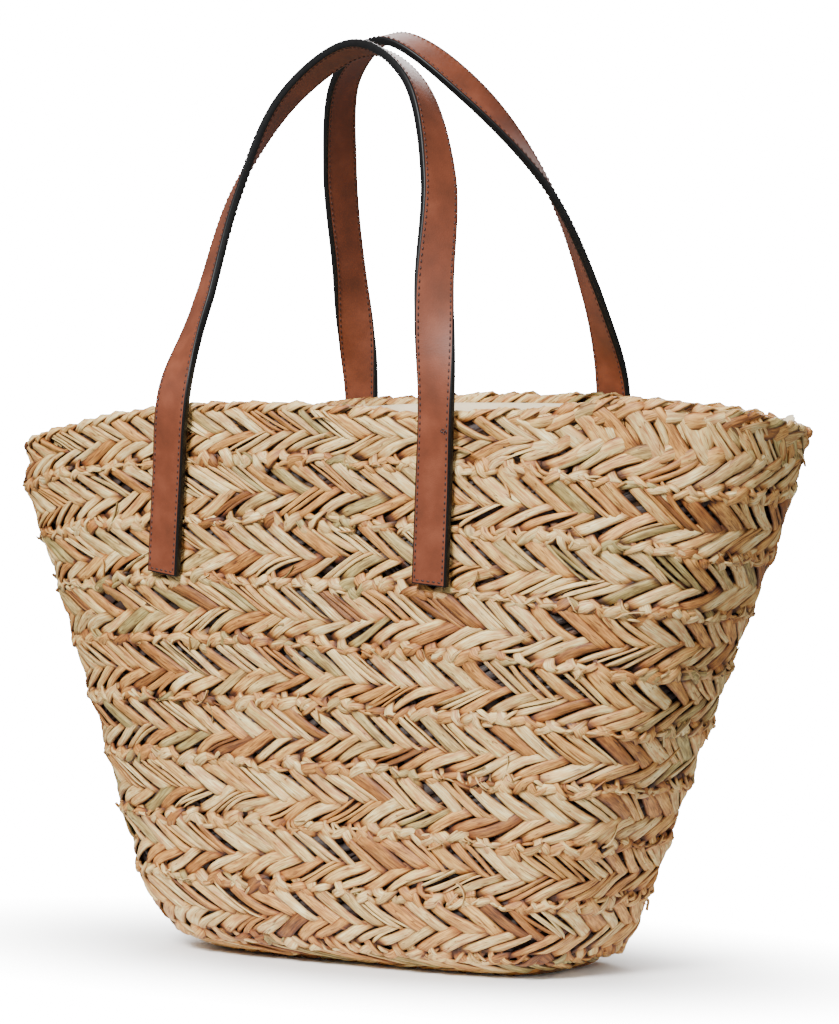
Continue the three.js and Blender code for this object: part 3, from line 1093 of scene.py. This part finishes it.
    def course_piece(self, course: int) -> bpy.types.Object:
        """Builds one course.

        Args:
            course: Its number, from -2 for the base to 8 for the rim's.

        Returns:
            The course's mesh object.
        """
        rng = np.random.default_rng(self.course_seed + course)
        heap = LeafHeap()
        units = self.units(course)
        falling_tones = rng.random(units)
        rising_tones = rng.random(units)
        self.add_row(heap, LONG_RISING, course, rng, rising_tones)
        self.add_row(heap, LONG_FALLING, course, rng, falling_tones)
        self.add_row(heap, SHORT_FALLING, course, rng, falling_tones)
        if course < self.surface.form.courses - 1:
            self.add_loops(heap, course, rng, rising_tones)
        label = {-2: "plait_base", -1: "plait_corner"}.get(course, f"plait_course_{course + 1}")
        return heap.build(label)

    def rim_piece(self) -> bpy.types.Object:
        """Builds the folded leaves that bind the rim, and the plait's sewn end along its right half."""
        rng = np.random.default_rng(self.rim_seed)
        heap = LeafHeap()
        top = float(self.surface.form.courses)
        units = self.units(top - 1)
        share = np.linspace(0, 1, self.strand_rings)
        for strand, (thin, wide, rise) in enumerate(RIM_STRANDS):
            s = (share - 0.3) * rng.uniform(36, 46, (units, 1)) * MM
            t = (-7.5 + 25.5 * share) * MM + rng.normal(0, 0.7, (units, 1)) * MM
            bulge = np.exp(-(((share - 0.35) / 0.15) ** 2))
            n = (bulge * rng.uniform(0.75, 1.3, (units, 1)) * (rise + 0.8) - 1.2) * MM
            n = n + 1.9 * MM * smooth(share, 0.42, 0.58)
            path = np.stack([s, t, n], -1)
            widths = rng.uniform(thin, wide, (units, 1)) * MM * (0.6 + 0.4 * np.sin(share * math.pi))
            tilts = rng.normal(0, 0.22, (units, 1)) + rng.normal(0, 0.25, (units, 1)) * (2 * share - 1)
            start = (np.arange(units) + strand / 2 + rng.normal(0, 0.1, units)) / units
            self.add_ribbons(heap, start, top, path, widths, tilts, rng.random(units))
        girth = self.surface.girth(top)
        first, last = self.tail_span
        for row in TAIL_ROWS:
            starts = np.arange(first * girth, last * girth, row.spacing)
            self.add_hooks(heap, row.hook, starts, top, row.above, rng, rng.random(len(starts)))
        return heap.build("plait_rim")

    def loose_piece(self) -> bpy.types.Object:
        """Builds the loose straw ends: the three that show most, and fine fibres along the seams."""
        rng = np.random.default_rng(self.loose_seed)
        heap = LeafHeap()
        courses = self.surface.form.courses
        ends = list(LOOSE_ENDS)
        for course in range(1, courses + 1):
            for _ in range(self.fibres_per_course):
                length = rng.uniform(7, 15) * MM
                lift = rng.uniform(1.6, 4.2) * MM
                level = course + rng.normal(0, 0.12) - 0.1 * (course == courses)
                turn, lean, width = rng.random(), rng.uniform(-70, 70), rng.uniform(0.7, 1.5) * MM
                ends.append((turn, level, length, lean, lift, width))
        table = np.array(ends)
        seams = np.ceil(table[:, 1])
        share = np.linspace(0, 1, self.fibre_rings)
        for seam in np.unique(seams):
            rows = table[seams == seam]
            turn, level, length, lean, lift, width = rows.T[..., None]
            bent = np.radians(lean) + rng.normal(0, 0.35, lean.shape) * share
            s = share * length * np.cos(bent)
            t = share * length * np.sin(bent) + (level - seam) * self.surface.pitch
            n = lift * (0.25 + 0.75 * share**0.6) - 0.4 * MM
            path = np.stack([s, t, n], -1)
            widths = width * (1.05 - 0.85 * share)
            tilts = rng.normal(0, 0.5, lean.shape) * share
            self.add_ribbons(heap, turn[:, 0], float(seam), path, widths, tilts, rng.random(len(rows)))
        return heap.build("loose_straw_ends")

    def core_piece(self) -> bpy.types.Object:
        """Builds the hidden inner layers of the plait as one shell with the wall's own thickness, finished
        near-black as painted shade between the leaves.
        """
        turns = WallMap.columns // 6
        along = np.arange(turns) / turns
        rise = self.core_depth - self.rim_core_depth
        outside = np.linspace(-2 + 0.03, 9.0, self.core_rings)
        over_rim = np.linspace(9.0, self.surface.values[-1], 16)[1:]
        inside = np.linspace(8.1, -0.95, 22)
        rows = [(value, rise * float(smooth(value, 8.7, 9.0)) - self.core_depth) for value in outside]
        rows += [(value, -self.rim_core_depth) for value in over_rim]
        rows += [(value, -self.surface.form.thickness) for value in inside]
        rings = [self.surface.place(along, np.full(turns, level), np.full(turns, out)) for level, out in rows]
        return link_bmesh("plait_core", loft(rings, close_start=True, close_end=True))


# The lining


@dataclass
class Lining:
    """The loose cotton lining, gathered under its sewn top edge."""

    form: BasketForm
    thickness: float = 1.0 * MM
    away: float = 5.6 * MM
    below_rim: float = 5 * MM
    pleats: int = 34
    pleat_depth: float = 3.6 * MM
    puff_rise: float = 11.5 * MM
    puff_length: float = 44 * MM
    puff_height: float = 29 * MM
    puff_turn: float = math.radians(21)
    columns: int = 360
    cloth_run: float = 1.05
    seed: int = 5

    def skin(self) -> list[np.ndarray]:
        """Returns the rings of the cloth from its top edge down to the middle of the floor."""
        rng = np.random.default_rng(self.seed)
        form = self.form
        turns = np.linspace(0, math.tau, self.columns, endpoint=False)
        folds = np.zeros(self.columns)
        for number in (self.pleats, self.pleats * 1.62, self.pleats * 0.47, self.pleats * 2.3):
            folds += rng.uniform(0.5, 1.0) * np.sin(round(number) * turns + rng.uniform(0, math.tau))
        folds = (folds - folds.min()) / (folds.max() - folds.min())
        rings = []
        levels = np.concatenate([np.linspace(1, 0.9, 10), np.linspace(0.87, 0.06, 22), [0.03, 0.012, 0.0]])
        top = (form.height - self.below_rim) / form.height
        bottom = self.away / form.height
        for share in levels:
            level = bottom + (top - bottom) * share
            hang = np.interp(share, (0, 0.1, 0.5, 0.88, 0.97, 1.0), (0.05, 0.3, 0.6, 1.0, 1.0, 0.6))
            inset = self.away + self.pleat_depth * hang * folds
            ring = form.wall(turns, np.full(self.columns, level), inset, self.away)
            puff = form.wall(np.array(self.puff_turn), np.array(1.0), self.away)
            gap = np.linalg.norm(ring[:, :2] - puff[:2], axis=1) / (self.puff_length / 2)
            near = np.exp(-(gap**2)) * smooth(np.array(share), 1 - self.puff_height / form.height, 1.0)
            ring[:, 2] += self.puff_rise * near
            rings.append(ring)
        floor = rings[-1]
        centre = floor.mean(0)
        for share in (0.75, 0.5, 0.25, 0.06):
            rings.append(centre + (floor - centre) * (share, share, 1))
        return rings

    def build(self) -> bpy.types.Object:
        """Returns the lining's object, with its map in metres of cloth."""
        bm = loft(self.skin(), close_start=False, close_end=True)
        layer = bm.loops.layers.uv.new("UVMap")
        run = np.linspace(0, self.cloth_run, self.columns + 1)
        for face in bm.faces:
            columns = [vertex.index % self.columns for vertex in face.verts]
            wraps = max(columns) - min(columns) > self.columns / 2
            for loop, column in zip(face.loops, columns):
                at = column + self.columns if wraps and column < self.columns / 2 else column
                loop[layer].uv = (run[min(at, self.columns)], loop.vert.co.z)
        piece = link_bmesh("cloth_lining", bm)
        wall = piece.modifiers.new("cloth_thickness", "SOLIDIFY")
        wall.thickness = self.thickness
        wall.offset = 0
        return piece


# The handles


@dataclass
class Foot:
    """A place on the sewn ends: up in shares of their length, left and right of half the straps' spacing."""

    up: float
    left: float
    right: float


@dataclass
class ArchPoint:
    """A point of the free arch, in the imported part's own shares, with the strap's turn in degrees."""

    across: float
    lean: float
    rise: float
    turn: float


FRONT_FEET = [Foot(0.0, -1.07, 1.0), Foot(0.5, -1.0, 1.05), Foot(1.0, -0.92, 1.09)]
BACK_FEET = [Foot(0.0, -0.92, 0.98), Foot(0.5, -0.95, 0.99), Foot(1.0, -0.98, 1.01)]
FRONT_ARCH = [
    ArchPoint(-0.93, 0.7, 0.3, 30),
    ArchPoint(-0.81, 0.52, 0.6, 48),
    ArchPoint(-0.47, 0.42, 0.865, 88),
    ArchPoint(0.08, 0.42, 1.0, 103),
    ArchPoint(0.62, 0.58, 0.9, 99),
    ArchPoint(0.92, 0.74, 0.64, 71),
    ArchPoint(1.02, 0.92, 0.33, 46),
]
BACK_ARCH = [
    ArchPoint(-0.96, 0.85, 0.33, 68),
    ArchPoint(-0.85, 0.6, 0.65, 72),
    ArchPoint(-0.55, 0.28, 0.91, 90),
    ArchPoint(0.0, 0.05, 1.01, 100),
    ArchPoint(0.57, 0.11, 0.85, 102),
    ArchPoint(0.93, 0.4, 0.59, 58),
    ArchPoint(1.05, 0.7, 0.3, 30),
]


def catmull_rom(rows: np.ndarray, shares: np.ndarray, alpha: float) -> np.ndarray:
    """Follows a Catmull-Rom curve through rows, with the ends mirrored.

    Args:
        rows: The points it passes through.
        shares: Places along it from 0 to 1, even in row number.
        alpha: 0.5 for a centripetal curve and 0 for an even one.

    Returns:
        One point for each share.
    """
    before = 2 * rows[0] - rows[1]
    after = 2 * rows[-1] - rows[-2]
    padded = np.vstack([before, rows, after])
    result = []
    for share in shares:
        at = share * (len(rows) - 1)
        index = min(int(at), len(rows) - 2)
        h = at - index
        p0, p1, p2, p3 = padded[index : index + 4]
        d0, d1, d2 = [float(np.linalg.norm(b - a)) ** alpha for a, b in ((p0, p1), (p1, p2), (p2, p3))]
        m1 = ((p1 - p0) / d0 - (p2 - p0) / (d0 + d1) + (p2 - p1) / d1) * d1
        m2 = ((p2 - p1) / d1 - (p3 - p1) / (d1 + d2) + (p3 - p2) / d2) * d1
        a = 2 * h**3 - 3 * h**2 + 1
        b = h**3 - 2 * h**2 + h
        c = -2 * h**3 + 3 * h**2
        d = h**3 - h**2
        result.append(a * p1 + b * m1 + c * p2 + d * m2)
    return np.array(result)


# The knot's stitches: place along in millimetres, share of the way to the stitch row, turn in radians
KNOT_STITCHES = ((0.0, 0.9, 0.6), (1.0, 0.8, -0.7), (-0.8, 0.72, 1.4), (0.4, 0.62, 2.2))


@dataclass
class Handle:
    """One leather strap, sewn to a long wall by both ends."""

    form: BasketForm
    name: str
    side: int
    feet: list[Foot]
    arch: list[ArchPoint]
    width: float = 20 * MM
    thickness: float = 4.2 * MM
    edge_round: float = 1.0 * MM
    edge_flat: float = 1.2 * MM
    seat_gap: float = 0.3 * MM
    sewn: float = 91 * MM
    rim_clearance: float = 4 * MM
    spacing: float = 162 * MM
    drop: float = 183 * MM
    stations: int = 170
    painted_tip: float = 0.0011
    stitch_pitch: float = 3.2 * MM
    stitch_length: float = 2.4 * MM
    stitch_inset: float = 2.0 * MM
    stitch_radius: float = 0.42 * MM
    stitch_lift: float = 0.03 * MM
    knot_height: float = 78 * MM

    def turn_at(self, x: float, level: float) -> float:
        """Returns the turn at which the wall stands at x on the strap's side."""
        low, high = 0.0, math.pi
        for _ in range(40):
            middle = (low + high) / 2
            if self.form.wall(np.array(self.side * middle), np.array(level))[0] - self.form.shift[0] > x:
                low = middle
            else:
                high = middle
        return self.side * (low + high) / 2

    def seat(self, x: float, height: float) -> tuple[np.ndarray, float]:
        """Finds the strap's middle on the wall.

        Args:
            x: The place along the wall.
            height: The place's height.

        Returns:
            The point, and how far the wall is turned towards the basket's end, in degrees.
        """
        level = min(height / self.form.height, 1.0)
        turn = self.turn_at(x, level)
        here = self.form.wall(np.array(turn), np.array(level))
        ahead = self.form.wall(np.array(turn + 0.02), np.array(level))
        behind = self.form.wall(np.array(turn - 0.02), np.array(level))
        tangent = ahead - behind
        outward = unit(np.array([tangent[1], -tangent[0], 0.0]))
        point = here + outward * (self.form.seam_ridge + self.seat_gap + self.thickness / 2)
        point[2] = height
        return point, math.degrees(math.atan2(abs(outward[0]), abs(outward[1])))

    def route(self) -> tuple[np.ndarray, np.ndarray]:
        """Returns the rows that the strap passes through and its turn at each."""
        half = self.spacing / 2
        rim = float(self.form.height_at(np.array(self.turn_at(half, 1.0)), np.array(1.0)))
        bottom = self.form.height - self.sewn
        top = self.form.height + self.rim_clearance
        heights = [bottom + (top - bottom) * foot.up for foot in self.feet]
        left = [self.seat(foot.left * half, height) for foot, height in zip(self.feet, heights)]
        right = [self.seat(foot.right * half, height) for foot, height in zip(self.feet, heights)]
        away = abs(left[-1][0][1] - self.form.shift[1])
        middle = []
        for point in self.arch:
            x = point.across * half + self.form.shift[0]
            y = self.side * point.lean * away + self.form.shift[1]
            middle.append((np.array([x, y, rim + point.rise * self.drop]), float(point.turn)))
        rows = [*left, *middle, *right[::-1]]
        return np.array([row for row, _ in rows]), np.array([[turn] for _, turn in rows])

    def frames(self, shares: np.ndarray) -> tuple[np.ndarray, np.ndarray, np.ndarray, np.ndarray]:
        """Gives the strap's middle, its outward, sideways and lengthwise directions.

        Args:
            shares: Places along the strap from 0 to 1.

        Returns:
            Four arrays with a row for each share.
        """
        rows, turns = self.route()
        middle = catmull_rom(rows, shares, 0.5)
        ahead = catmull_rom(rows, np.clip(shares + 1e-4, 0, 1), 0.5)
        behind = catmull_rom(rows, np.clip(shares - 1e-4, 0, 1), 0.5)
        forward = unit(ahead - behind)
        bend = np.radians(catmull_rom(turns, shares, 0.0))
        out_of_arch = unit(np.cross(forward, (0.0, 1.0, 0.0)))
        face = np.sin(bend) * out_of_arch
        face[:, 1] += self.side * np.cos(bend[:, 0])
        face = unit(face - forward * np.sum(face * forward, axis=1, keepdims=True))
        return middle, face, np.cross(forward, face), forward

    def section(self) -> list[tuple[float, float, bool]]:
        """Returns the section's corners: out, sideways, and whether the next face is painted edge."""
        face, edge, rounding = self.thickness / 2, self.width / 2, self.edge_round
        flat = edge - rounding - self.edge_flat
        corners = []
        for sign in (1, -1):
            corners.extend((sign * face, across, False) for across in (-sign * flat, 0.0, sign * flat))
            for bend, way in ((0, 1), (30, 1), (60, 1), (90, 1), (60, -1), (30, -1)):
                angle = math.radians(bend)
                out = way * sign * (face - rounding * (1 - math.cos(angle)))
                across = sign * (edge - rounding * (1 - math.sin(angle)))
                corners.append((out, across, True))
            corners.append((-sign * face, sign * (edge - rounding), False))
        return corners

    def build(self) -> bpy.types.Object:
        """Returns the strap, with its faces in leather and its edges painted."""
        tip = self.painted_tip
        shares = np.concatenate([[0, tip], np.linspace(4 * tip, 1 - 4 * tip, self.stations), [1 - tip, 1]])
        middle, face, side, _ = self.frames(shares)
        section = self.section()
        rings = []
        for centre, outward, sideways in zip(middle, face, side):
            corners = [centre + outward * out + sideways * across for out, across, _ in section]
            rings.append(np.array(corners))
        bm = loft(rings, close_start=True, close_end=True)
        count = len(section)
        last = (len(rings) - 2) * count
        for piece_face in bm.faces:
            columns = [vertex.index % count for vertex in piece_face.verts]
            numbers = [vertex.index for vertex in piece_face.verts]
            if len(columns) > 4 or max(numbers) < 2 * count or min(numbers) >= last:
                piece_face.material_index = 1
                continue
            wraps = max(columns) - min(columns) > count / 2
            start = max(columns) if wraps else min(columns)
            piece_face.material_index = 1 if section[start][2] else 0
        return link_bmesh(self.name, bm)

    def stitch_places(self, length: float) -> np.ndarray:
        """Places the two rows of edge stitches, on both faces, the rows across the sewn ends and the knot.

        Args:
            length: The strap's length.

        Returns:
            A row for each stitch: place along, place across, 1 or -1 for its face, and turn in radians.
        """
        inset = self.stitch_inset
        across = self.width / 2 - inset
        count = int((length - 2 * inset) / self.stitch_pitch)
        places = []
        for position in inset + (np.arange(count) + 0.5) * (length - 2 * inset) / count:
            for sideways in (-across, across):
                places.extend((position, sideways, out, 0.0) for out in (1, -1))
        ends = np.linspace(-across, across, 6)[:-1] + across / 5
        for position in (inset, length - inset):
            places.extend((position, sideways, 1, math.pi / 2) for sideways in ends)
        if self.side < 0:
            for offset, inward, turn in KNOT_STITCHES:
                places.append((length - self.knot_height + offset * MM, -inward * across, 1, turn))
        return np.array(places)

    def one_stitch(self, plump: float = 0.45, sunk: float = 0.35) -> tuple[np.ndarray, list[list[int]]]:
        """Makes one stitch, which lies along Z with its face towards +Y.

        Args:
            plump: Its radius before it is scaled, and the share of it that is left at both tips.
            sunk: How far the tips dip.

        Returns:
            Its points in metres and its faces.
        """
        bm = tube(6, plump, 2)
        for vertex in bm.verts:
            if abs(vertex.co.z) > 0.9:
                vertex.co.x *= plump
                vertex.co.y *= plump
                vertex.co.y -= sunk
        scale = (self.stitch_radius / plump, self.stitch_radius / plump, self.stitch_length / 2)
        points = np.array([vertex.co[:] for vertex in bm.verts]) * scale
        faces = [[vertex.index for vertex in face.verts] for face in bm.faces]
        bm.free()
        return points, faces

    def stitches(self) -> bpy.types.Object:
        """Returns all stitches of the strap as one mesh."""
        fine = np.linspace(0, 1, 2000)
        line = catmull_rom(self.route()[0], fine, 0.5)
        run = np.concatenate([[0.0], np.cumsum(np.linalg.norm(np.diff(line, axis=0), axis=1))])
        places = self.stitch_places(run[-1])
        _, across, out, turn = places.T[..., None]
        middle, face, side, forward = self.frames(np.interp(places[:, 0], run, fine))
        centre = middle + side * across + face * out * (self.thickness / 2 + self.stitch_lift)
        lengthwise = forward * np.cos(turn) + side * np.sin(turn)
        outward = face * out
        sidewards = np.cross(outward, lengthwise)
        local, faces = self.one_stitch()
        points = (
            centre[:, None]
            + sidewards[:, None] * local[:, 0:1]
            + outward[:, None] * local[:, 1:2]
            + lengthwise[:, None] * local[:, 2:3]
        )
        flat = []
        for k in range(len(places)):
            flat.extend([[index + k * len(local) for index in corners] for corners in faces])
        mesh = bpy.data.meshes.new(f"{self.name}_stitches")
        mesh.from_pydata(points.reshape(-1, 3).tolist(), [], flat)
        mesh.shade_smooth()
        return link(f"{self.name}_stitches", mesh)


# Studio


@dataclass
class Studio:
    """A plain pale floor, soft lights, and the camera at the photograph's angle."""

    azimuth: float = math.radians(35)
    elevation: float = math.radians(2.75)
    distance: float = 2.7
    aim_right: float = 15.3 * MM
    aim_height: float = 230.9 * MM
    focal_pixels: float = 5203.0
    image_height: int = 1024
    floor_size: float = 1.5
    sensor: float = 36.0
    ambient: float = 0.34
    backdrop: float = 20.0
    key_power: float = 215.0
    fill_power: float = 30.0
    back_power: float = 90.0

    def camera(self, shift: tuple[float, float]) -> None:
        """Makes the camera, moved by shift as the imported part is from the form's own middle."""
        a, e = self.azimuth, self.elevation
        back = Vector((math.sin(a) * math.cos(e), -math.cos(a) * math.cos(e), math.sin(e)))
        right = Vector((math.cos(a), math.sin(a), 0.0))
        aim = right * self.aim_right + Vector((shift[0], shift[1], self.aim_height))
        data = bpy.data.cameras.new("camera")
        data.sensor_width = self.sensor
        data.lens = self.sensor * self.focal_pixels / self.image_height
        data.clip_end = 50
        camera = bpy.data.objects.new("camera", data)
        bpy.context.scene.collection.objects.link(camera)
        camera.location = aim + back * self.distance
        camera.rotation_mode = "QUATERNION"
        camera.rotation_quaternion = (-back).to_track_quat("-Z", "Y")
        bpy.context.scene.camera = camera

    def light(self, name: str, place: tuple[float, float, float], size: float, power: float) -> None:
        """Makes a square soft light aimed at the basket's middle.

        Args:
            name: The light's name.
            place: Its place.
            size: The length of its side.
            power: Its power in watts.
        """
        data = bpy.data.lights.new(name, "AREA")
        data.size = size
        data.energy = power
        lamp = bpy.data.objects.new(name, data)
        lamp.location = place
        aim = Vector((0.0, 0.0, 0.2)) - Vector(place)
        lamp.rotation_mode = "QUATERNION"
        lamp.rotation_quaternion = aim.to_track_quat("-Z", "Y")
        bpy.context.scene.collection.objects.link(lamp)

    def build(self, shift: tuple[float, float]) -> None:
        """Builds the whole studio, with the camera moved by shift."""
        self.camera(shift)
        bm = bmesh.new()
        bmesh.ops.create_grid(bm, x_segments=8, y_segments=8, size=self.floor_size)
        floor = link_bmesh("floor", bm)
        floor.data.materials.append(StudioFinish().build())
        n = Nodes(bpy.data.worlds.new("studio"))
        seen = n.add("ShaderNodeLightPath").outputs["Is Camera Ray"]
        sky = {0: (1.0, 1.0, 1.0, 1.0), 1: self.ambient}
        ambient = n.add("ShaderNodeBackground", sky).outputs[0]
        backdrop = n.add("ShaderNodeBackground", {**sky, 1: self.backdrop}).outputs[0]
        mixed = {0: seen, 1: ambient, 2: backdrop}
        bpy.context.scene.world = n.finish("ShaderNodeMixShader", mixed)
        self.light("key", place=(0.1, -2.3, 2.1), size=0.9, power=self.key_power)
        self.light("fill", place=(2.6, -1.2, 1.2), size=1.6, power=self.fill_power)
        self.light("back", place=(-1.2, 2.6, 1.9), size=1.2, power=self.back_power)


def main() -> None:
    """Builds the bag's parts in order and reports each piece."""
    logging.basicConfig(level=logging.INFO, format="%(message)s", stream=sys.stdout)
    form = BasketForm()
    form.centre_on(*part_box("straw_body"))
    surface = WallMap(form)
    plait = Plait(surface)
    straw = SeagrassFinish().build()
    pieces = []
    for course in range(-2, form.courses):
        pieces.append((plait.course_piece(course), straw, "seagrass"))
    pieces.append((plait.rim_piece(), straw, "seagrass"))
    pieces.append((plait.loose_piece(), straw, "seagrass"))
    core = plait.core_piece()
    # The core's near-black finish is painted shade between the leaves
    pieces.append((core, PLAIT_CORE.build(), "seagrass"))
    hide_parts("straw_body")
    cloth = Lining(form).build()
    pieces.append((cloth, CottonFinish().build(), "cotton"))
    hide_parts("lining")
    leather, paint, thread = LeatherFinish().build(), EDGE_PAINT.build(), THREAD.build()
    for node, side, feet, arch in (
        ("handle_front", -1, FRONT_FEET, FRONT_ARCH),
        ("handle_back", 1, BACK_FEET, BACK_ARCH),
    ):
        handle = Handle(form, f"strap_{node.split('_')[1]}", side, feet, arch)
        strap = handle.build()
        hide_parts(node)
        pieces.append((strap, leather, "leather"))
        strap.data.materials.append(leather)
        strap.data.materials.append(paint)
        pieces.append((handle.stitches(), thread, "leather"))
    for piece, material, slot in pieces:
        if not piece.data.materials:
            piece.data.materials.append(material)
        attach(piece, "root")
        log.info("%s: %d faces", piece.name, len(piece.data.polygons))
    Studio().build(form.shift)


if __name__ == "__main__":
    main()
